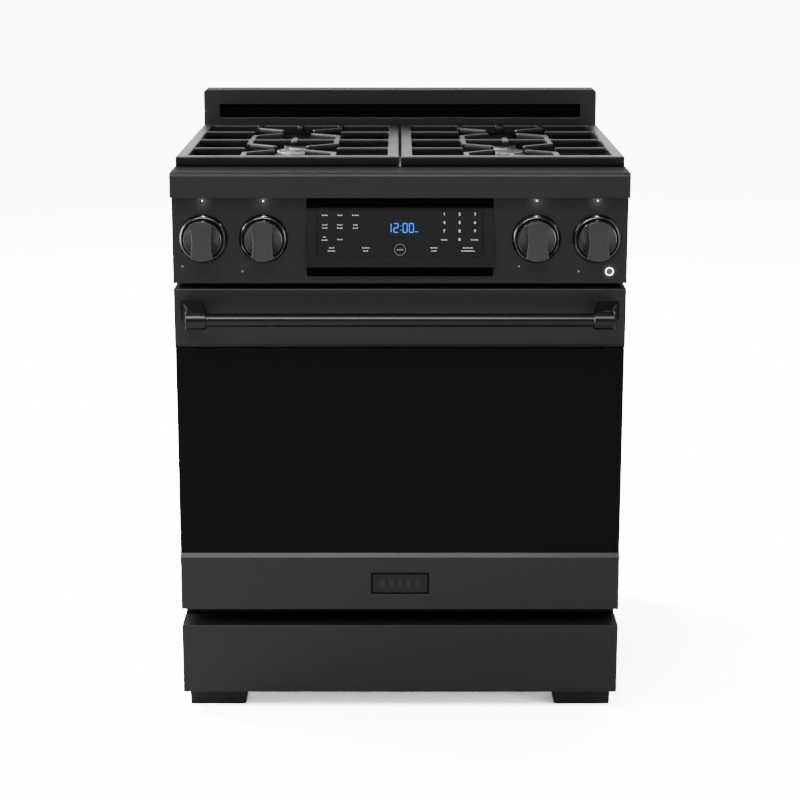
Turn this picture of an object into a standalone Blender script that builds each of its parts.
"""Freestanding 30 inch gas range, as separate pieces.

Metres, +Z up, +X to the right of someone facing the door, -Y towards them.
The origin is on the floor, under the middle of the bounding box.
A "depth" is measured back from the plane of the door's face.
"""
from math import cos, pi, radians, sin, sqrt

import bmesh
import bpy
from mathutils import Matrix, Vector

for old in list(bpy.data.objects):
    bpy.data.objects.remove(old, do_unlink=True)

# ------------------------------------------------------------------ driving sizes
WIDTH = 0.759                # across the front panels
BODY_DEPTH = 0.650           # door face to the back of the backguard
FOOT_HEIGHT = 0.035
DRAWER_HEIGHT = 0.124
DRAWER_GAP = 0.029           # finger gap between drawer and door
DOOR_HEIGHT = 0.567
PANEL_GAP = 0.009            # between door and control panel
PANEL_HEIGHT = 0.147
BULLNOSE_HEIGHT = 0.042
BACKGUARD_RISE = 0.080       # above the cooktop

SHEET = 0.002                # folded sheet steel
FIT = 0.0003                 # left between pieces that touch
RUNNING = 0.0010             # left around pieces that move

DOOR_DEPTH = 0.060
GASKET_DEPTH = 0.005         # door back to the front frame
UPPER_TRIM = 0.103           # steel above the glass
LOWER_TRIM = 0.1025          # steel below the glass
TRIM_BEVEL = 0.0085
TRIM_DEPTH = 0.009           # front of the trims to the door frame
GLASS_INSET = 0.0035
GLASS_THICK = 0.005
WINDOW_SIDE = 0.115          # door edge to window
WINDOW_END = 0.050           # glass edge to window, top and bottom
SEAL_REACH = 0.022           # cavity mouth to the seal's outside
SEAL_WIDTH = 0.010
BADGE_WIDTH = 0.103
BADGE_HEIGHT = 0.041
BADGE_DEPTH = 0.0008

HANDLE_STAND = 0.070         # door face to the bar's axis
HANDLE_DROP = 0.0395         # door top to the bar's axis
HANDLE_INSET = 0.0268        # door edge to the handle's end
BAR_RADIUS = 0.011
FERRULE_RADIUS = 0.0155
FERRULE_LENGTH = 0.034
BAR_SEAT = 0.012             # bar inside each ferrule
POST_FLARE = 0.013           # how far a post leans out at the door
POST_HEIGHT = 0.032

HINGE_BACK = 0.025           # pivot ahead of the door's inner face
HINGE_RISE = 0.014           # pivot above the door's bottom
HINGE_SIDE = 0.045           # pivot plate in from the door's edge
HINGE_PLATE = 0.005
HINGE_RADIUS = 0.011
HINGE_TAIL = 0.030           # plate behind the front frame
PIN_RADIUS = 0.003
PIN_REACH = 0.005            # pin beyond each face of the plate
BOSS_WALL = 0.008

FRAME_DEPTH = 0.020          # front frame, front to back
OVEN_SIDE = 0.0795           # range side to oven cavity
OVEN_LOW = 0.062             # door bottom to cavity floor
OVEN_HIGH = 0.095            # cavity roof to door top
OVEN_BACK = 0.095            # cavity back to the range's back
LEDGE_REACH = 0.010
LEDGE_THICK = 0.004
LEDGE_INSET = 0.010          # ledge's ends in from the cavity's mouth and back
LEDGE_LOW = 0.110            # lower rack ledge above the cavity floor
LEDGE_PITCH = 0.130
RACK_SIDE = 0.003
RACK_BACK = 0.075            # rack's back edge to cavity back
RACK_TRAVEL = 0.020          # free room in front of a rack, door shut
RACK_ROD = 0.006
RACK_WIRE = 0.0035
RACK_WIRES = 13

SIDE_INSET = 0.001           # side panels in from the front panels
BACK_RECESS = 0.020          # back panel in from the backguard's back
FLANGE = 0.012               # folded edges of the side panels
VENTS = 7                    # slots in the back panel
VENT_PITCH = 0.060
VENT_LENGTH = 0.040
VENT_OPEN = 0.010
VENT_RISE = 0.060            # cavity roof to those slots
TRAY_HEIGHT = 0.026
WELL_DEPTH = 0.022
TRAY_RIM = 0.014
TRAY_RIDGE = 0.036           # between the two wells
GUARD_DEPTH = 0.0595
VENT_SIDE = 0.031            # backguard's end to the vent slot
VENT_LOW = 0.027             # cooktop to the slot
VENT_HEIGHT = 0.025
GUARD_CHAMFER = 0.004

BULLNOSE_REACH = 0.0275      # ahead of the door face
BULLNOSE_BACK = 0.0585
BULLNOSE_RADIUS = 0.006
PANEL_REACH = 0.0014         # panel's face ahead of the door's

KNOB_EDGE = 0.0515           # range side to the outer knob's axis
KNOB_PITCH = 0.1008
KNOB_Z = 0.076               # above the panel's bottom edge
KNOB_RADIUS = 0.0320
KNOB_SKIRT = 0.010
KNOB_LENGTH = 0.030
KNOB_LIFT = 0.0052           # panel to the knob's back
GRIP_HALF = 0.0140
GRIP_FLARE = 0.0020
BEZEL_GAP = 0.002            # around the knob
BEZEL_RING = 0.0068
BEZEL_HEIGHT = 0.0085
SHAFT_RADIUS = 0.004
SHAFT_SEAT = 0.014           # shaft inside the knob
VALVE_DEPTH = 0.042
MANIFOLD_DEPTH = 0.078
MANIFOLD_RADIUS = 0.009
VALVE_HALF = 0.013           # half a valve body's side
VALVE_BORE = 0.012           # shaft's hole in the valve

DISPLAY_GAP = 0.0312         # inner bezel to display housing
DISPLAY_LOW = 0.012          # panel bottom to housing
DISPLAY_LIP_Z = 0.031        # panel bottom to the housing's front edge
DISPLAY_REACH = 0.021
DISPLAY_TOP = 0.019          # panel top to housing
DISPLAY_BORDER = 0.017
DISPLAY_CROWN = 0.004        # housing's top to the glass
DISPLAY_NOSE = 0.002         # chamfer under the housing's front edge
DISPLAY_CREST = 0.0015       # thickness that is left at the housing's top
DISPLAY_GLASS = 0.0016
GLASS_PROUD = 0.0002
BUTTON_SIDE = 0.0297
BUTTON_Z = 0.0207
BUTTON_RADIUS = 0.0078
BUTTON_REACH = 0.0024
BUTTON_LENGTH = 0.014
CABLE_HOLE_Z = 0.060         # panel bottom to the display's cable hole
CABLE_HOLE = 0.030

GRATE_HEIGHT = 0.016
GRATE_SIDE = 0.0017
GRATE_SPLIT = 0.004
RAIL_WIDTH = 0.019
BAR_WIDTH = 0.0095
FINGER_THICK = 0.010
FINGER_STOP = 0.080          # burner axis to the side fingers
LINE_OFFSET = 0.0765         # burner axis to the front-to-back bars
TIP_OFFSET = 0.027           # burner axis to the diagonal tips
STUB_LENGTH = 0.030
BURNER_RADIUS = 0.026
BURNER_FLANGE = 0.040
BURNER_HEIGHT = 0.0145
CAP_RADIUS = 0.0285
CAP_THICK = 0.0065
GRATE_FRONT_GAP = 0.0005     # bullnose to grate
GRATE_BACK_GAP = 0.023       # grate to backguard

DRAWER_LIP = 0.060           # how deep the front's channel is
DRAWER_SIDE = 0.030
DRAWER_BACK = 0.110
DRAWER_RAISE = 0.008
DRAWER_BOX_DROP = 0.010      # box rim below the front's top
FOOT_WIDTH = 0.101
FOOT_LENGTH = 0.050
FOOT_SIDE = 0.008
FOOT_FRONT = 0.030
FOOT_TAPER = 0.002

FAN_RADIUS = 0.055
FAN_BLADES = 8
FAN_CORE = 0.35              # blade roots, as a share of the fan's radius
FAN_THICK = 0.016
FAN_ROOM = 0.006             # fan to the cavity's rear wall
MOTOR_RADIUS = 0.032
MOTOR_LENGTH = 0.040
BAKE_RADIUS = 0.013
BROIL_HALF = 0.110           # half the broil burner's width
BROIL_THICK = 0.018
BROIL_RIM = 0.010
BROIL_INSET = 0.070          # cavity mouth to the broil burner
COVER_HALF = 0.085
COVER_DEPTH = 0.040
COVER_SLOTS = 5
COVER_PITCH = 0.024
COVER_SLOT = 0.016
COVER_SLOT_HALF = 0.050      # half a slot's height

# ------------------------------------------------------------------ sizes worked out
HALF = WIDTH / 2
HANDLE_REACH = HANDLE_STAND + FERRULE_RADIUS
FACE_Y = -(BODY_DEPTH - HANDLE_REACH) / 2       # y of the door's face
DRAWER_TOP = FOOT_HEIGHT + DRAWER_HEIGHT
DOOR_Z = DRAWER_TOP + DRAWER_GAP
DOOR_TOP = DOOR_Z + DOOR_HEIGHT
PANEL_Z = DOOR_TOP + PANEL_GAP
PANEL_TOP = PANEL_Z + PANEL_HEIGHT
COOKTOP_Z = PANEL_TOP + BULLNOSE_HEIGHT
TOP_Z = COOKTOP_Z + BACKGUARD_RISE
TRAY_Z = COOKTOP_Z - TRAY_HEIGHT
WELL_Z = COOKTOP_Z - WELL_DEPTH
BODY_FRONT = DOOR_DEPTH + GASKET_DEPTH
GUARD_FRONT = BODY_DEPTH - GUARD_DEPTH
BACK_PANEL = BODY_DEPTH - BACK_RECESS
SIDE_OUT = HALF - SIDE_INSET
SIDE_IN = SIDE_OUT - SHEET
GLASS_Z = DOOR_Z + LOWER_TRIM
GLASS_TOP = DOOR_TOP - UPPER_TRIM
OVEN_HALF = HALF - OVEN_SIDE
OVEN_Z = DOOR_Z + OVEN_LOW
OVEN_TOP = DOOR_TOP - OVEN_HIGH
LINER_FRONT = BODY_FRONT + FRAME_DEPTH + FIT
OVEN_END = BODY_DEPTH - OVEN_BACK
OVEN_MID_Z = (OVEN_Z + OVEN_TOP) / 2
KNOB_AXIS_Z = PANEL_Z + KNOB_Z
BEZEL_INNER = KNOB_RADIUS + BEZEL_GAP
BEZEL_RADIUS = BEZEL_INNER + BEZEL_RING
KNOB_XS = (-HALF + KNOB_EDGE, -HALF + KNOB_EDGE + KNOB_PITCH,
           HALF - KNOB_EDGE - KNOB_PITCH, HALF - KNOB_EDGE)
DISPLAY_HALF = HALF - KNOB_EDGE - KNOB_PITCH - BEZEL_RADIUS - DISPLAY_GAP
HINGE_DEPTH = DOOR_DEPTH - HINGE_BACK
HINGE_Z = DOOR_Z + HINGE_RISE
HINGE_X = HALF - HINGE_SIDE
GRATE_WIDTH = HALF - GRATE_SIDE - GRATE_SPLIT / 2
GRATE_FRONT = BULLNOSE_BACK + GRATE_FRONT_GAP
GRATE_DEPTH = GUARD_FRONT - GRATE_BACK_GAP - GRATE_FRONT
BURNER_X = GRATE_SPLIT / 2 + GRATE_WIDTH / 2
BURNER_DEPTHS = (GRATE_FRONT + GRATE_DEPTH / 4, GRATE_FRONT + GRATE_DEPTH * 3 / 4)
SIDES = (("left", -1), ("right", 1))


def y_at(depth):
    """The y of a place this far behind the door's face."""
    return FACE_Y + depth


# ------------------------------------------------------------------ materials
def finish(name, colour, roughness, metallic):
    made = bpy.data.materials.new(name)
    made.use_nodes = True
    shader = made.node_tree.nodes["Principled BSDF"]
    shader.inputs["Base Color"].default_value = (*colour, 1)
    shader.inputs["Roughness"].default_value = roughness
    shader.inputs["Metallic"].default_value = metallic
    return made


BLACK_STEEL = finish("black_stainless", (0.035, 0.035, 0.036), 0.34, 0.9)
DARK_STEEL = finish("dark_steel", (0.05, 0.05, 0.052), 0.45, 0.8)
GALVANISED = finish("galvanised_steel", (0.42, 0.43, 0.44), 0.45, 0.9)
ENAMEL = finish("black_enamel", (0.012, 0.012, 0.013), 0.18, 0.0)
OVEN_ENAMEL = finish("oven_enamel", (0.022, 0.024, 0.032), 0.25, 0.0)
CAST_IRON = finish("cast_iron", (0.022, 0.022, 0.022), 0.62, 0.3)
ALUMINIUM = finish("burner_aluminium", (0.70, 0.69, 0.66), 0.30, 1.0)
BRIGHT_STEEL = finish("bright_steel", (0.55, 0.55, 0.55), 0.22, 1.0)
SMOKED_CHROME = finish("smoked_chrome", (0.12, 0.12, 0.125), 0.16, 1.0)
BLACK_GLASS = finish("black_glass", (0.008, 0.008, 0.009), 0.04, 0.0)
CLEAR_GLASS = finish("clear_glass", (0.80, 0.86, 0.84), 0.03, 0.0)
SILICONE = finish("gasket_fibre", (0.10, 0.10, 0.10), 0.85, 0.0)
PLASTIC = finish("button_plastic", (0.75, 0.78, 0.80), 0.35, 0.0)


# ------------------------------------------------------------------ shape tools
def add_object(name, shape, material, origin=(0, 0, 0)):
    """Turn a bmesh drawn in world places into an object with this origin."""
    bmesh.ops.translate(shape, verts=shape.verts, vec=-Vector(origin))
    bmesh.ops.recalc_face_normals(shape, faces=shape.faces)
    mesh = bpy.data.meshes.new(name)
    shape.to_mesh(mesh)
    shape.free()
    made = bpy.data.objects.new(name, mesh)
    made.location = origin
    bpy.context.scene.collection.objects.link(made)
    if material is not None:
        mesh.materials.append(material)
    return made


def add_block(shape, xs, ys, zs):
    """Add a box that fills these three ranges."""
    middle = [(low + high) / 2 for low, high in (xs, ys, zs)]
    size = [high - low for low, high in (xs, ys, zs)]
    place = Matrix.Translation(middle) @ Matrix.Diagonal((*size, 1))
    bmesh.ops.create_cube(shape, size=1, matrix=place)


def block(name, material, xs, ys, zs, origin=(0, 0, 0)):
    shape = bmesh.new()
    add_block(shape, xs, ys, zs)
    return add_object(name, shape, material, origin)


def extruded(name, material, outline, axis, low, high, origin=(0, 0, 0)):
    """Extrude an outline from low to high: (y, z) points along x, (x, z) along y, (x, y) along z."""
    places = {
        "x": lambda u, v: (low, u, v),
        "y": lambda u, v: (u, low, v),
        "z": lambda u, v: (u, v, low),
    }
    step = Vector([high - low if letter == axis else 0 for letter in "xyz"])
    shape = bmesh.new()
    base = shape.faces.new([shape.verts.new(places[axis](u, v)) for u, v in outline])
    grown = bmesh.ops.extrude_face_region(shape, geom=[base])
    moved = [item for item in grown["geom"] if isinstance(item, bmesh.types.BMVert)]
    bmesh.ops.translate(shape, verts=moved, vec=step)
    return add_object(name, shape, material, origin)


def turned(name, material, profile, base, axis, sides, origin=(0, 0, 0)):
    """Spin (radius, height) points about an axis through base; a point at radius 0 closes an end."""
    turn = Vector((0, 0, 1)).rotation_difference(Vector(axis)).to_matrix().to_4x4()
    shape = bmesh.new()
    line = [shape.verts.new((radius, 0, height)) for radius, height in profile]
    edges = [shape.edges.new(pair) for pair in zip(line, line[1:])]
    bmesh.ops.spin(shape, geom=line + edges, cent=(0, 0, 0), axis=(0, 0, 1),
                   angle=2 * pi, steps=sides, use_merge=True)
    bmesh.ops.remove_doubles(shape, verts=shape.verts, dist=0.00002)
    bmesh.ops.transform(shape, verts=shape.verts, matrix=Matrix.Translation(base) @ turn)
    made = add_object(name, shape, material, origin)
    made.data.shade_smooth()
    made.data.set_sharp_from_angle(angle=radians(35))
    return made


def rod(name, material, radius, start, end, sides=16, origin=(0, 0, 0)):
    """A plain round bar from start to end."""
    run = Vector(end) - Vector(start)
    profile = [(0, 0), (radius, 0), (radius, run.length), (0, run.length)]
    return turned(name, material, profile, start, run.normalized(), sides, origin)


def combine(target, tool, operation):
    """Apply one hidden shape to another with a Boolean that stays live."""
    tool.name = f"{target.name}_{operation.lower()}_tool"
    tool.hide_render = True
    tool.display_type = "WIRE"
    change = target.modifiers.new(operation.title(), "BOOLEAN")
    change.operation = operation
    change.solver = "EXACT"
    change.object = tool


def cut(target, *tools):
    for tool in tools:
        combine(target, tool, "DIFFERENCE")


def join(target, *tools):
    for tool in tools:
        combine(target, tool, "UNION")


def cutter(xs, ys, zs):
    return block("cutter", None, xs, ys, zs)


def mirrored(sign, low, high):
    """The x range low..high on the right, or its mirror image on the left."""
    return (low, high) if sign > 0 else (-high, -low)


def lattice(name, material, frame_xs, frame_ys, bars_x, bars_y, zs, origin=(0, 0, 0)):
    """A flat grid of crossing bars, as one solid: each bar is an x range or a y range."""
    xs = sorted({edge for bar in bars_x for edge in bar} | set(frame_xs))
    ys = sorted({edge for bar in bars_y for edge in bar} | set(frame_ys))
    shape = bmesh.new()
    corners = [[shape.verts.new((x, y, zs[0])) for y in ys] for x in xs]
    for column, (x_low, x_high) in enumerate(zip(xs, xs[1:])):
        for row, (y_low, y_high) in enumerate(zip(ys, ys[1:])):
            x_mid = (x_low + x_high) / 2
            y_mid = (y_low + y_high) / 2
            on_x = any(low < x_mid < high for low, high in bars_x)
            on_y = any(low < y_mid < high for low, high in bars_y)
            if on_x or on_y:
                shape.faces.new((corners[column][row], corners[column + 1][row],
                                 corners[column + 1][row + 1], corners[column][row + 1]))
    loose = [corner for corner in shape.verts if not corner.link_faces]
    bmesh.ops.delete(shape, geom=loose, context="VERTS")
    grown = bmesh.ops.extrude_face_region(shape, geom=list(shape.faces))
    moved = [item for item in grown["geom"] if isinstance(item, bmesh.types.BMVert)]
    bmesh.ops.translate(shape, verts=moved, vec=(0, 0, zs[1] - zs[0]))
    return add_object(name, shape, material, origin)


# ------------------------------------------------------------------ chassis
def make_side_panels():
    """Full-height sheet sides with a flange folded in at the front and the back."""
    for side, sign in SIDES:
        zs = (FOOT_HEIGHT + FIT, TRAY_Z - FIT)
        ys = (y_at(BODY_FRONT), y_at(BACK_PANEL - FIT))
        panel = block(f"side_panel_{side}", BLACK_STEEL, mirrored(sign, SIDE_IN, SIDE_OUT), ys, zs)
        folded = mirrored(sign, SIDE_IN - FLANGE, SIDE_OUT)
        upper = (PANEL_Z + FIT, zs[1])
        join(panel,
             block("fold", None, folded, (ys[0], ys[0] + SHEET), upper),
             block("fold", None, folded, (ys[1] - SHEET, ys[1]), zs))


def make_back_panel():
    """Rear sheet, with a round hole where the gas pipe comes through and a row of vents."""
    panel = block("back_panel", GALVANISED, (-SIDE_OUT, SIDE_OUT),
                  (y_at(BACK_PANEL), y_at(BACK_PANEL + SHEET)), (FOOT_HEIGHT + FIT, TRAY_Z - FIT))
    reach = (y_at(BACK_PANEL - SHEET), y_at(BACK_PANEL + 2 * SHEET))
    cut(panel, rod("hole", None, MANIFOLD_RADIUS + RUNNING,
                   (-HALF + KNOB_EDGE / 2, reach[0], KNOB_AXIS_Z),
                   (-HALF + KNOB_EDGE / 2, reach[1], KNOB_AXIS_Z)))
    for column in range(VENTS):
        middle = (column - (VENTS - 1) / 2) * VENT_PITCH
        cut(panel, cutter((middle - VENT_LENGTH / 2, middle + VENT_LENGTH / 2), reach,
                          (OVEN_TOP + VENT_RISE, OVEN_TOP + VENT_RISE + VENT_OPEN)))


def make_base_pan():
    """Chassis floor, turned up at the sides into the rails that carry the drawer."""
    top = FOOT_HEIGHT + DRAWER_HEIGHT - DRAWER_BOX_DROP
    outer = SIDE_IN - FIT
    inner = HALF - DRAWER_SIDE + RUNNING
    low = FOOT_HEIGHT + FIT
    right = [(outer, low), (outer, low + SHEET), (inner + SHEET, low + SHEET), (inner + SHEET, top - SHEET),
             (outer, top - SHEET), (outer, top), (inner, top), (inner, low + SHEET)]
    outline = right + [(-x, z) for x, z in reversed(right)]
    extruded("base_pan", GALVANISED, outline, "y",
             y_at(FOOT_FRONT), y_at(BACK_PANEL - 2 * SHEET))


def make_feet():
    """Four block feet, a little narrower at the floor."""
    rear = BACK_PANEL - FOOT_FRONT - FOOT_LENGTH
    for place, depth in (("front", FOOT_FRONT), ("rear", rear)):
        for side, sign in SIDES:
            edge = HALF - FOOT_SIDE
            outline = [(sign * (edge - FOOT_WIDTH + FOOT_TAPER), 0), (sign * (edge - FOOT_TAPER / 2), 0),
                       (sign * edge, FOOT_HEIGHT - FIT), (sign * (edge - FOOT_WIDTH), FOOT_HEIGHT - FIT)]
            foot = extruded(f"foot_{place}_{side}", DARK_STEEL, outline, "y",
                            y_at(depth), y_at(depth + FOOT_LENGTH))
            wall = 2 * SHEET
            cut(foot, cutter(mirrored(sign, edge - FOOT_WIDTH + wall, edge - wall),
                             (y_at(depth) + wall, y_at(depth + FOOT_LENGTH) - wall), (wall, FOOT_HEIGHT)))


def make_front_frame():
    """The face that the oven door closes on, with the oven's mouth and two hinge slots."""
    ys = (y_at(BODY_FRONT), y_at(BODY_FRONT + FRAME_DEPTH))
    through = (ys[0] - SHEET, ys[1] + SHEET)
    frame = block("front_frame", DARK_STEEL, (-SIDE_IN + FIT, SIDE_IN - FIT), ys,
                  (DRAWER_TOP + FIT, PANEL_Z - FIT))
    cut(frame, cutter((-OVEN_HALF, OVEN_HALF), through, (OVEN_Z, OVEN_TOP)))
    slot = HINGE_PLATE / 2 + RUNNING
    for side, sign in SIDES:
        cut(frame, cutter((sign * HINGE_X - slot, sign * HINGE_X + slot), through,
                          (HINGE_Z - HINGE_RADIUS - RUNNING, HINGE_Z + HINGE_RADIUS + RUNNING)))
    lip = 2 * SHEET
    behind = (ys[0] + SHEET, through[1])
    side_in = SIDE_IN - lip
    cut(frame,
        cutter((-side_in, side_in), behind, (OVEN_TOP + lip, PANEL_Z - lip)),
        cutter((-side_in, side_in), behind, (HINGE_Z + HINGE_RADIUS + lip, OVEN_Z - lip)),
        cutter((-side_in, -OVEN_HALF - lip), behind, (OVEN_Z, OVEN_TOP)),
        cutter((OVEN_HALF + lip, side_in), behind, (OVEN_Z, OVEN_TOP)))


def make_oven_liner():
    """Enamelled oven cavity, open at the front, with pressed ledges for two racks."""
    ys = (y_at(LINER_FRONT), y_at(OVEN_END))
    liner = block("oven_liner", OVEN_ENAMEL, (-OVEN_HALF - SHEET, OVEN_HALF + SHEET),
                  (ys[0], ys[1] + SHEET), (OVEN_Z - SHEET, OVEN_TOP + SHEET))
    cut(liner, cutter((-OVEN_HALF, OVEN_HALF), (ys[0] - SHEET, ys[1]), (OVEN_Z, OVEN_TOP)))
    for level in range(2):
        low = OVEN_Z + LEDGE_LOW + level * LEDGE_PITCH
        for side, sign in SIDES:
            join(liner, block("ledge", None, mirrored(sign, OVEN_HALF - LEDGE_REACH, OVEN_HALF + SHEET / 2),
                              (ys[0] + LEDGE_INSET, ys[1] - LEDGE_INSET), (low, low + LEDGE_THICK)))
    cut(liner, rod("hole", None, SHAFT_RADIUS + RUNNING,
                   (0, ys[1] - SHEET, OVEN_MID_Z), (0, ys[1] + 2 * SHEET, OVEN_MID_Z)))


def make_racks():
    """Two wire racks that rest on the ledges, stopped by the shut door in front."""
    half = OVEN_HALF - RACK_SIDE
    front = LINER_FRONT + RACK_TRAVEL + RUNNING
    for level, name in enumerate(("rack_lower", "rack_upper")):
        low = OVEN_Z + LEDGE_LOW + level * LEDGE_PITCH + LEDGE_THICK + FIT
        ys = (y_at(front), y_at(OVEN_END - RACK_BACK))
        pitch = 2 * (half - RACK_ROD) / (RACK_WIRES + 1)
        bars_x = [(-half, -half + RACK_ROD), (half - RACK_ROD, half)]
        for wire in range(1, RACK_WIRES + 1):
            middle = -half + RACK_ROD + wire * pitch
            bars_x.append((middle - RACK_WIRE / 2, middle + RACK_WIRE / 2))
        bars_y = [(ys[0], ys[0] + RACK_ROD), (ys[1] - RACK_ROD, ys[1])]
        lattice(name, BRIGHT_STEEL, (-half, half), ys, bars_x, bars_y, (low, low + RACK_ROD),
                (0, ys[0], low))


def make_oven_burners():
    """Bake tube under the cavity floor and a flat broil burner under its roof."""
    low = (DRAWER_TOP + OVEN_Z) / 2
    rod("bake_burner", GALVANISED, BAKE_RADIUS, (0, y_at(LINER_FRONT + BROIL_INSET), low),
        (0, y_at(BACK_PANEL - FIT), low), 12)
    front = LINER_FRONT + BROIL_INSET
    back = OVEN_END - COVER_DEPTH - BROIL_INSET
    burner = block("broil_burner", BRIGHT_STEEL, (-BROIL_HALF, BROIL_HALF), (y_at(front), y_at(back)),
                   (OVEN_TOP - BROIL_THICK - FIT, OVEN_TOP - FIT))
    cut(burner, cutter((BROIL_RIM - BROIL_HALF, BROIL_HALF - BROIL_RIM),
                       (y_at(front + BROIL_RIM), y_at(back - BROIL_RIM)),
                       (OVEN_TOP - BROIL_THICK - SHEET, OVEN_TOP - FIT - SHEET)))


def make_convection():
    """Fan on its shaft, the motor behind the cavity, and a cover with a round inlet."""
    axis = (0, 1, 0)
    back = y_at(OVEN_END)
    motor_y = back + SHEET + FIT
    turned("convection_motor", GALVANISED,
           [(0, 0), (MOTOR_RADIUS, 0), (MOTOR_RADIUS, MOTOR_LENGTH - 0.006),
            (MOTOR_RADIUS - 0.008, MOTOR_LENGTH), (0, MOTOR_LENGTH)],
           (0, motor_y, OVEN_MID_Z), axis, 16)
    fan_back = back - FAN_ROOM
    points = []
    for blade in range(FAN_BLADES):
        for share, radius in ((0.0, FAN_RADIUS), (0.22, FAN_RADIUS), (0.50, FAN_RADIUS * FAN_CORE),
                              (0.85, FAN_RADIUS * FAN_CORE)):
            angle = 2 * pi * (blade + share) / FAN_BLADES
            points.append((radius * cos(angle), OVEN_MID_Z + radius * sin(angle)))
    fan = extruded("convection_fan", BRIGHT_STEEL, points, "y", fan_back - FAN_THICK, fan_back,
                   (0, back, OVEN_MID_Z))
    join(fan, rod("shaft", None, SHAFT_RADIUS, (0, fan_back - FAN_THICK / 2, OVEN_MID_Z),
                  (0, motor_y - FIT, OVEN_MID_Z), 12))
    cover = block("fan_cover", OVEN_ENAMEL, (-COVER_HALF, COVER_HALF), (back - COVER_DEPTH, back - FIT),
                  (OVEN_MID_Z - COVER_HALF, OVEN_MID_Z + COVER_HALF))
    inner = COVER_HALF - SHEET
    cut(cover, cutter((-inner, inner), (back - COVER_DEPTH + SHEET, back + SHEET),
                      (OVEN_MID_Z - inner, OVEN_MID_Z + inner)))
    for column in range(COVER_SLOTS):
        middle = (column - (COVER_SLOTS - 1) / 2) * COVER_PITCH
        cut(cover, cutter((middle - COVER_SLOT / 2, middle + COVER_SLOT / 2),
                          (back - COVER_DEPTH - SHEET, back - COVER_DEPTH + 2 * SHEET),
                          (OVEN_MID_Z - COVER_SLOT_HALF, OVEN_MID_Z + COVER_SLOT_HALF)))


# ------------------------------------------------------------------ top
def make_cooktop():
    """Enamelled top with a rim all round and a sunk well under each grate."""
    ys = (y_at(BULLNOSE_BACK + FIT), y_at(GUARD_FRONT - FIT))
    tray = block("cooktop_tray", ENAMEL, (-HALF, HALF), ys, (TRAY_Z, COOKTOP_Z))
    for side, sign in SIDES:
        well = mirrored(sign, TRAY_RIDGE / 2, HALF - TRAY_RIM)
        cut(tray, cutter(well, (ys[0] + TRAY_RIM, ys[1] - TRAY_RIM), (WELL_Z, COOKTOP_Z + SHEET)))
        for depth in BURNER_DEPTHS:
            place = (sign * BURNER_X, y_at(depth))
            cut(tray, rod("hole", None, BURNER_RADIUS - 0.006,
                          (*place, TRAY_Z - SHEET), (*place, WELL_Z + SHEET), 16))


def make_burners():
    """Each burner is a bright head with a flange, and a loose enamelled cap on top."""
    low = WELL_Z + FIT
    neck = BURNER_RADIUS - 0.007
    for side, sign in SIDES:
        for place, depth in zip(("front", "rear"), BURNER_DEPTHS):
            centre = (sign * BURNER_X, y_at(depth), low)
            turned(f"burner_{place}_{side}", ALUMINIUM,
                   [(0, -0.012), (neck, -0.012), (neck, 0), (BURNER_FLANGE, 0), (BURNER_FLANGE - 0.002, 0.002),
                    (BURNER_RADIUS, 0.0035), (BURNER_RADIUS, BURNER_HEIGHT), (0, BURNER_HEIGHT)],
                   centre, (0, 0, 1), 24)
            seat = (centre[0], centre[1], low + BURNER_HEIGHT + FIT)
            turned(f"burner_cap_{place}_{side}", ENAMEL,
                   [(0, 0), (CAP_RADIUS, 0), (CAP_RADIUS, CAP_THICK * 0.6),
                    (CAP_RADIUS - 0.003, CAP_THICK), (0, CAP_THICK)],
                   seat, (0, 0, 1), 24)


def add_bar(shape, start, end, width, zs):
    """Add a straight bar between two (x, y) points."""
    run = Vector(end) - Vector(start)
    middle = (Vector(end) + Vector(start)) / 2
    turn = Matrix.Rotation(run.angle_signed(Vector((1, 0))), 4, "Z")
    place = (Matrix.Translation((*middle, (zs[0] + zs[1]) / 2)) @ turn
             @ Matrix.Diagonal((run.length, width, zs[1] - zs[0], 1)))
    bmesh.ops.create_cube(shape, size=1, matrix=place)


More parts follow.
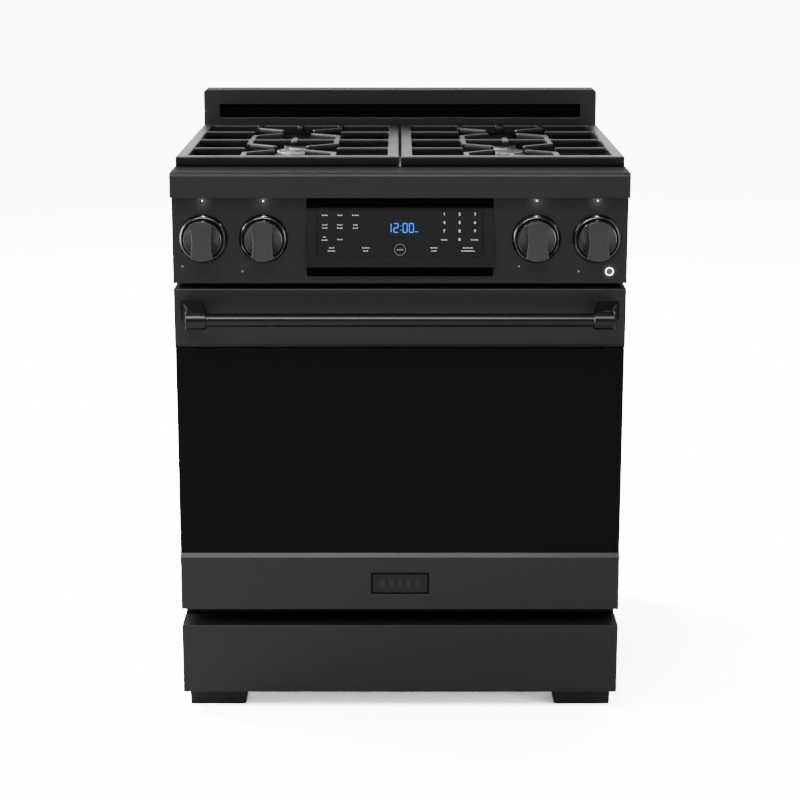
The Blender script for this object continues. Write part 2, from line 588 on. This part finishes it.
def make_grate(side, sign):
    """A cast grate over two burners: rails, cross bars and fingers that point at each burner."""
    low = COOKTOP_Z + FIT
    top = low + GRATE_HEIGHT
    fingers = (top - FINGER_THICK, top)
    front = y_at(GRATE_FRONT)
    back = front + GRATE_DEPTH
    centre = sign * BURNER_X
    left = centre - GRATE_WIDTH / 2
    right = centre + GRATE_WIDTH / 2
    eighth = GRATE_DEPTH / 8
    grate = lattice(f"grate_{side}", CAST_IRON, (left, right), (front, back),
                    [(left, left + RAIL_WIDTH), (right - RAIL_WIDTH, right)],
                    [(front, front + RAIL_WIDTH), (back - RAIL_WIDTH, back)],
                    (low, top), (centre, front, low))
    shape = bmesh.new()
    bite = RAIL_WIDTH / 2
    add_bar(shape, (left + bite, front + 4 * eighth), (right - bite, front + 4 * eighth),
            BAR_WIDTH, fingers)
    for step in (2, 6):
        y = front + step * eighth
        for end, toward in ((left + bite, -1), (right - bite, 1)):
            add_bar(shape, (end, y), (centre + toward * FINGER_STOP, y), BAR_WIDTH, fingers)
            for along in (-1, 1):
                corner = (centre + toward * LINE_OFFSET, y + along * eighth)
                tip = (centre + toward * TIP_OFFSET, y + along * TIP_OFFSET)
                add_bar(shape, corner, tip, BAR_WIDTH * 0.9, fingers)
    for toward in (-1, 1):
        x = centre + toward * LINE_OFFSET
        for start, end in ((0, 1), (3, 5), (7, 8)):
            y_start = front + start * eighth + (bite if start == 0 else -BAR_WIDTH / 2)
            y_end = front + end * eighth + (-bite if end == 8 else BAR_WIDTH / 2)
            add_bar(shape, (x, y_start), (x, y_end), BAR_WIDTH, fingers)
    for start, end in ((bite, RAIL_WIDTH + STUB_LENGTH),
                       (4 * eighth - STUB_LENGTH, 4 * eighth + STUB_LENGTH),
                       (GRATE_DEPTH - RAIL_WIDTH - STUB_LENGTH, GRATE_DEPTH - bite)):
        add_bar(shape, (centre, front + start), (centre, front + end), BAR_WIDTH * 1.1, fingers)
    bars = add_object("bars", shape, None)
    join(grate, bars)
    grate.modifiers["Union"].use_self = True


def make_backguard():
    """Low guard behind the grates: hollow, open below, with the oven's vent slot in its face."""
    ys = (y_at(GUARD_FRONT), y_at(BODY_DEPTH))
    outline = [(-HALF, TRAY_Z), (HALF, TRAY_Z), (HALF, TOP_Z - GUARD_CHAMFER), (HALF - GUARD_CHAMFER, TOP_Z),
               (-HALF + GUARD_CHAMFER, TOP_Z), (-HALF, TOP_Z - GUARD_CHAMFER)]
    guard = extruded("backguard", BLACK_STEEL, outline, "y", *ys)
    inner = HALF - 2 * SHEET
    cut(guard,
        cutter((-inner, inner), (ys[0] + SHEET, ys[1] - SHEET), (TRAY_Z - SHEET, TOP_Z - 2 * SHEET)),
        cutter((-HALF + VENT_SIDE, HALF - VENT_SIDE), (ys[0] - SHEET, ys[0] + 2 * SHEET),
               (COOKTOP_Z + VENT_LOW, COOKTOP_Z + VENT_LOW + VENT_HEIGHT)))


def make_bullnose():
    """Rounded front rail that overhangs the control panel: hollow, open at the back."""
    low = PANEL_TOP + FIT
    front = y_at(-BULLNOSE_REACH)
    back = y_at(BULLNOSE_BACK)
    outline = [(front, low), (back, low), (back, COOKTOP_Z)]
    for step in range(4):
        angle = radians(90 + 30 * step)
        outline.append((front + BULLNOSE_RADIUS * (1 + cos(angle)),
                        COOKTOP_Z - BULLNOSE_RADIUS * (1 - sin(angle))))
    rail = extruded("bullnose_rail", BLACK_STEEL, outline, "x", -HALF, HALF)
    wall = BULLNOSE_RADIUS / 2 + SHEET / 2
    cut(rail, cutter((-HALF + wall, HALF - wall), (front + wall, back + SHEET),
                     (low + SHEET, COOKTOP_Z - wall)))


# ------------------------------------------------------------------ control panel
def make_control_panel():
    """Folded fascia with holes for the valve shafts, the power button and the display's cable."""
    face = y_at(-PANEL_REACH)
    back = y_at(BODY_FRONT - FIT)
    panel = block("control_panel", BLACK_STEEL, (-HALF, HALF), (face, back), (PANEL_Z, PANEL_TOP))
    cut(panel, cutter((-HALF + SHEET, HALF - SHEET), (face + SHEET, back + SHEET),
                      (PANEL_Z + SHEET, PANEL_TOP - SHEET)))
    through = (face - SHEET, face + 2 * SHEET)
    for x in KNOB_XS:
        cut(panel, rod("hole", None, SHAFT_RADIUS + RUNNING, (x, through[0], KNOB_AXIS_Z),
                       (x, through[1], KNOB_AXIS_Z), 16))
    button = (HALF - BUTTON_SIDE, PANEL_Z + BUTTON_Z)
    cut(panel, rod("hole", None, BUTTON_RADIUS + RUNNING / 2, (button[0], through[0], button[1]),
                   (button[0], through[1], button[1]), 24))
    cut(panel, cutter((-DISPLAY_HALF / 2, DISPLAY_HALF / 2), through,
                      (PANEL_Z + CABLE_HOLE_Z, PANEL_Z + CABLE_HOLE_Z + CABLE_HOLE)))
    rod("power_button", PLASTIC, BUTTON_RADIUS, (button[0], face - BUTTON_REACH, button[1]),
        (button[0], face - BUTTON_REACH + BUTTON_LENGTH, button[1]), 24,
        (button[0], face - BUTTON_REACH, button[1]))


def make_display():
    """Wedge-shaped housing that leans back, with a dark glass let into its face."""
    back = y_at(-PANEL_REACH) - FIT
    low = PANEL_Z + DISPLAY_LOW
    lip = Vector((back - DISPLAY_REACH, PANEL_Z + DISPLAY_LIP_Z))
    top = Vector((back - DISPLAY_CREST, PANEL_TOP - DISPLAY_TOP))
    outline = [(back, low), (back, top.y), tuple(top), tuple(lip), (lip.x + DISPLAY_NOSE, lip.y - DISPLAY_NOSE)]
    housing = extruded("display_housing", BLACK_STEEL, outline, "x", -DISPLAY_HALF, DISPLAY_HALF)
    along = (top - lip).normalized()
    inward = Vector((along.y, -along.x))

    def slab(room, out, deep):
        """The outline of a plate on the leaning face, from out in front of it to deep inside it."""
        start = lip + along * (DISPLAY_BORDER - room)
        end = top - along * (DISPLAY_CROWN - room)
        return [tuple(start - inward * out), tuple(end - inward * out),
                tuple(end + inward * deep), tuple(start + inward * deep)]

    pocket = extruded("pocket", None, slab(FIT, SHEET, DISPLAY_GLASS + FIT), "x",
                      -DISPLAY_HALF + DISPLAY_BORDER - FIT, DISPLAY_HALF - DISPLAY_BORDER + FIT)
    cut(housing, pocket)
    extruded("display_glass", BLACK_GLASS, slab(0, GLASS_PROUD, DISPLAY_GLASS), "x",
             -DISPLAY_HALF + DISPLAY_BORDER, DISPLAY_HALF - DISPLAY_BORDER)


def grip_outline(x):
    """Plan of a knob's grip, seen from the front: waisted sides, and ends on the knob's rim."""
    reach = KNOB_RADIUS - 0.0006
    end_half = GRIP_HALF + GRIP_FLARE
    end_z = sqrt(reach ** 2 - end_half ** 2)
    right = []
    for step in range(5):
        share = -1 + step / 2
        right.append((x + GRIP_HALF + GRIP_FLARE * share ** 2, KNOB_AXIS_Z + end_z * share))
    crown = [(x, KNOB_AXIS_Z + reach)]
    left = [(2 * x - px, pz) for px, pz in reversed(right)]
    return right + crown + left + [(x, KNOB_AXIS_Z - reach)]


def make_knobs():
    """Four burner knobs: a fixed bezel, the valve's shaft, and the knob pressed on the shaft."""
    face = y_at(-PANEL_REACH)
    for number, x in enumerate(KNOB_XS, start=1):
        centre = (x, face, KNOB_AXIS_Z)
        back = face - KNOB_LIFT
        turned(f"knob_bezel_{number}", SMOKED_CHROME,
               [(BEZEL_INNER, FIT), (BEZEL_RADIUS, FIT), (BEZEL_RADIUS, BEZEL_HEIGHT * 0.5),
                (BEZEL_RADIUS - 0.003, BEZEL_HEIGHT), (BEZEL_INNER, BEZEL_HEIGHT), (BEZEL_INNER, FIT)],
               centre, (0, -1, 0), 28)
        knob = turned(f"knob_{number}", SMOKED_CHROME,
                      [(0, 0), (KNOB_RADIUS, 0), (KNOB_RADIUS, KNOB_SKIRT - 0.0015),
                       (KNOB_RADIUS - 0.0015, KNOB_SKIRT), (0, KNOB_SKIRT)],
                      (x, back, KNOB_AXIS_Z), (0, -1, 0), 28, (x, back, KNOB_AXIS_Z))
        join(knob, extruded("grip", None, grip_outline(x), "y", back - KNOB_LENGTH,
                            back - KNOB_SKIRT / 2))
        cut(knob, rod("bore", None, SHAFT_RADIUS + RUNNING / 5, (x, back + SHEET, KNOB_AXIS_Z),
                      (x, back - SHAFT_SEAT - FIT, KNOB_AXIS_Z), 16))
        rod(f"knob_shaft_{number}", BRIGHT_STEEL, SHAFT_RADIUS,
            (x, y_at(VALVE_DEPTH + VALVE_BORE / 2), KNOB_AXIS_Z), (x, back - SHAFT_SEAT, KNOB_AXIS_Z), 16,
            (x, back, KNOB_AXIS_Z))


def make_manifold():
    """Gas pipe behind the panel with one valve per knob, and its feed from the back."""
    y = y_at(MANIFOLD_DEPTH)
    feed_x = -HALF + KNOB_EDGE / 2
    pipe = rod("gas_manifold", GALVANISED, MANIFOLD_RADIUS, (feed_x - MANIFOLD_RADIUS, y, KNOB_AXIS_Z),
               (KNOB_XS[-1] + VALVE_HALF + SHEET, y, KNOB_AXIS_Z), 12)
    for x in KNOB_XS:
        join(pipe, block("valve", None, (x - VALVE_HALF, x + VALVE_HALF), (y_at(VALVE_DEPTH), y),
                         (KNOB_AXIS_Z - VALVE_HALF, KNOB_AXIS_Z + VALVE_HALF)))
    for x in KNOB_XS:
        cut(pipe, rod("bore", None, SHAFT_RADIUS + RUNNING, (x, y_at(VALVE_DEPTH - SHEET), KNOB_AXIS_Z),
                      (x, y_at(VALVE_DEPTH + VALVE_BORE), KNOB_AXIS_Z), 12))
    join(pipe, rod("feed", None, MANIFOLD_RADIUS * 0.9, (feed_x, y, KNOB_AXIS_Z),
                   (feed_x, y_at(BACK_PANEL + SHEET), KNOB_AXIS_Z), 12))


# ------------------------------------------------------------------ oven door
DOOR_ORIGIN = (0, y_at(HINGE_DEPTH), HINGE_Z)


def hinge_notch():
    """Half width of the notch that the door needs around each hinge plate."""
    return HINGE_PLATE / 2 + RUNNING


def notch_cutters():
    """Room for the fixed hinge plates as the door swings down around them."""
    tools = []
    for side, sign in SIDES:
        middle = sign * HINGE_X
        tools.append(cutter((middle - hinge_notch(), middle + hinge_notch()),
                            (y_at(HINGE_DEPTH) - HINGE_RADIUS - RUNNING, y_at(DOOR_DEPTH + SHEET)),
                            (DOOR_Z - SHEET, HINGE_Z + HINGE_RADIUS + RUNNING)))
    return tools


def make_door_frame():
    """Pressed inner door: a pan open at the front, with a window tube and two hinge bosses."""
    ys = (y_at(TRIM_DEPTH + FIT), y_at(DOOR_DEPTH))
    wall = 2 * SHEET
    low = DOOR_Z + SHEET + FIT
    high = DOOR_TOP - SHEET - FIT
    frame = block("door_frame", DARK_STEEL, (-HALF, HALF), ys, (low, high), DOOR_ORIGIN)
    cut(frame, cutter((-HALF + wall, HALF - wall), (ys[0] - SHEET, ys[1] - wall), (low + wall, high - wall)))
    window = (HALF - WINDOW_SIDE, GLASS_Z + WINDOW_END, GLASS_TOP - WINDOW_END)
    join(frame, block("tube", None, (-window[0] - wall, window[0] + wall), (ys[0] + wall, ys[1] - wall / 2),
                      (window[1] - wall, window[2] + wall)))
    for side, sign in SIDES:
        boss = hinge_notch() + BOSS_WALL
        join(frame, block("boss", None, (sign * HINGE_X - boss, sign * HINGE_X + boss),
                          (ys[0] + wall, ys[1] - wall / 2),
                          (low + wall / 2, HINGE_Z + HINGE_RADIUS + BOSS_WALL)))
    cut(frame, cutter((-window[0], window[0]), (ys[0] - SHEET, ys[1] + SHEET), (window[1], window[2])))
    cut(frame, *notch_cutters())
    for side, sign in SIDES:
        reach = hinge_notch() + PIN_REACH
        cut(frame, rod("pin_hole", None, PIN_RADIUS + RUNNING / 4,
                       (sign * HINGE_X - reach, y_at(HINGE_DEPTH), HINGE_Z),
                       (sign * HINGE_X + reach, y_at(HINGE_DEPTH), HINGE_Z), 16))
    pane = (ys[1] - wall - GLASS_THICK, ys[1] - wall)
    block("door_inner_glass", CLEAR_GLASS, (-window[0] + FIT, window[0] - FIT), pane,
          (window[1] + FIT, window[2] - FIT), DOOR_ORIGIN)


def make_door_trims():
    """Steel skins above and below the glass: a bevelled face, and a flange over the frame's edge."""
    front = y_at(0)
    seat = y_at(TRIM_DEPTH)
    flange = y_at(DOOR_DEPTH - 0.006)
    bevel_y = y_at(TRIM_DEPTH - 0.003)
    upper = [(front, GLASS_TOP + TRIM_BEVEL), (front, DOOR_TOP - SHEET), (front + SHEET, DOOR_TOP),
             (flange, DOOR_TOP), (flange, DOOR_TOP - SHEET), (seat, DOOR_TOP - SHEET),
             (seat, GLASS_TOP + FIT), (bevel_y, GLASS_TOP + FIT)]
    extruded("door_upper_trim", BLACK_STEEL, upper, "x", -HALF, HALF, DOOR_ORIGIN)
    lower = [(front, GLASS_Z - TRIM_BEVEL), (bevel_y, GLASS_Z - FIT), (seat, GLASS_Z - FIT),
             (seat, DOOR_Z + SHEET), (flange, DOOR_Z + SHEET), (flange, DOOR_Z), (front, DOOR_Z)]
    trim = extruded("door_lower_trim", BLACK_STEEL, lower, "x", -HALF, HALF, DOOR_ORIGIN)
    middle = (DOOR_Z + GLASS_Z - TRIM_BEVEL) / 2
    cut(trim, cutter((-BADGE_WIDTH / 2, BADGE_WIDTH / 2), (front - SHEET, front + BADGE_DEPTH),
                     (middle - BADGE_HEIGHT / 2, middle + BADGE_HEIGHT / 2)))
    cut(trim, *notch_cutters())
    block("door_outer_glass", BLACK_GLASS, (-HALF + FIT, HALF - FIT),
          (y_at(GLASS_INSET), y_at(GLASS_INSET + GLASS_THICK)), (GLASS_Z, GLASS_TOP), DOOR_ORIGIN)


def make_door_gasket():
    """Fibre rope seal around the window, on the door's inner face."""
    out_x = OVEN_HALF + SEAL_REACH
    zs = (OVEN_Z - SEAL_REACH, OVEN_TOP + SEAL_REACH)
    ys = (y_at(DOOR_DEPTH) + FIT, y_at(BODY_FRONT) - FIT)
    seal = block("door_gasket", SILICONE, (-out_x, out_x), ys, zs, DOOR_ORIGIN)
    cut(seal, cutter((-out_x + SEAL_WIDTH, out_x - SEAL_WIDTH), (ys[0] - SHEET, ys[1] + SHEET),
                     (zs[0] + SEAL_WIDTH, zs[1] - SEAL_WIDTH)))


def make_handle():
    """Round bar held in a ferrule at each end, on posts that flare out where they meet the door."""
    axis_y = y_at(-HANDLE_STAND)
    axis_z = DOOR_TOP - HANDLE_DROP
    end = HALF - HANDLE_INSET
    inner = end - FERRULE_LENGTH
    bar_end = inner + BAR_SEAT
    rod("handle_bar", SMOKED_CHROME, BAR_RADIUS, (-bar_end, axis_y, axis_z), (bar_end, axis_y, axis_z), 20,
        DOOR_ORIGIN)
    for side, sign in SIDES:
        post = rod(f"handle_post_{side}", SMOKED_CHROME, FERRULE_RADIUS, (sign * inner, axis_y, axis_z),
                   (sign * end, axis_y, axis_z), 20, DOOR_ORIGIN)
        outline = [(sign * (inner + 0.002), axis_y), (sign * (inner + 0.002), y_at(0) - FIT),
                   (sign * (end + POST_FLARE), y_at(0) - FIT)]
        for share in (0.25, 0.5, 0.75, 1.0):
            outline.append((sign * (end - 0.001 + (POST_FLARE + 0.001) * (1 - share) ** 2),
                            y_at(-HANDLE_STAND * share)))
        join(post, extruded("arm", None, outline, "z", axis_z - POST_HEIGHT * 0.40,
                            axis_z + POST_HEIGHT * 0.46))
        cut(post, rod("socket", None, BAR_RADIUS + FIT, (sign * (inner - SHEET), axis_y, axis_z),
                      (sign * (bar_end + FIT), axis_y, axis_z), 20))


def make_hinges():
    """Fixed plates with a round nose and a pin, which the door's bosses turn on."""
    tail = BODY_FRONT + FRAME_DEPTH + HINGE_TAIL
    for side, sign in SIDES:
        middle = sign * HINGE_X
        y = y_at(HINGE_DEPTH)
        outline = [(y_at(tail), HINGE_Z - HINGE_RADIUS), (y_at(tail), HINGE_Z + HINGE_RADIUS)]
        for step in range(9):
            angle = radians(90 + 22.5 * step)
            outline.append((y + HINGE_RADIUS * cos(angle), HINGE_Z + HINGE_RADIUS * sin(angle)))
        plate = extruded(f"door_hinge_{side}", BRIGHT_STEEL, outline, "x",
                         middle - HINGE_PLATE / 2, middle + HINGE_PLATE / 2)
        reach = HINGE_PLATE / 2 + PIN_REACH
        join(plate, rod("pin", None, PIN_RADIUS, (middle - reach, y, HINGE_Z), (middle + reach, y, HINGE_Z), 16))


# ------------------------------------------------------------------ drawer
def make_drawer():
    """Channel-shaped front, deep along its top edge, and a sheet box behind it."""
    front = y_at(-0.001)
    back = y_at(DRAWER_LIP)
    origin = (0, front, FOOT_HEIGHT)
    panel = block("drawer_front", BLACK_STEEL, (-HALF, HALF), (front, back), (FOOT_HEIGHT, DRAWER_TOP), origin)
    cut(panel, cutter((-HALF + SHEET, HALF - SHEET), (front + SHEET, back + SHEET),
                      (FOOT_HEIGHT - SHEET, DRAWER_TOP - SHEET)))
    half = HALF - DRAWER_SIDE
    low = FOOT_HEIGHT + DRAWER_RAISE
    ys = (back + FIT, y_at(BODY_DEPTH - DRAWER_BACK))
    rim = DRAWER_TOP - DRAWER_BOX_DROP
    box = block("drawer_box", GALVANISED, (-half, half), ys, (low, rim), origin)
    cut(box, cutter((-half + SHEET, half - SHEET), (ys[0] + SHEET, ys[1] - SHEET), (low + SHEET, rim + SHEET)))


make_side_panels()
make_back_panel()
make_base_pan()
make_feet()
make_front_frame()
make_oven_liner()
make_racks()
make_oven_burners()
make_convection()
make_cooktop()
make_burners()
for side_name, side_sign in SIDES:
    make_grate(side_name, side_sign)
make_backguard()
make_bullnose()
make_control_panel()
make_display()
make_knobs()
make_manifold()
make_door_frame()
make_door_trims()
make_door_gasket()
make_handle()
make_hinges()
make_drawer()
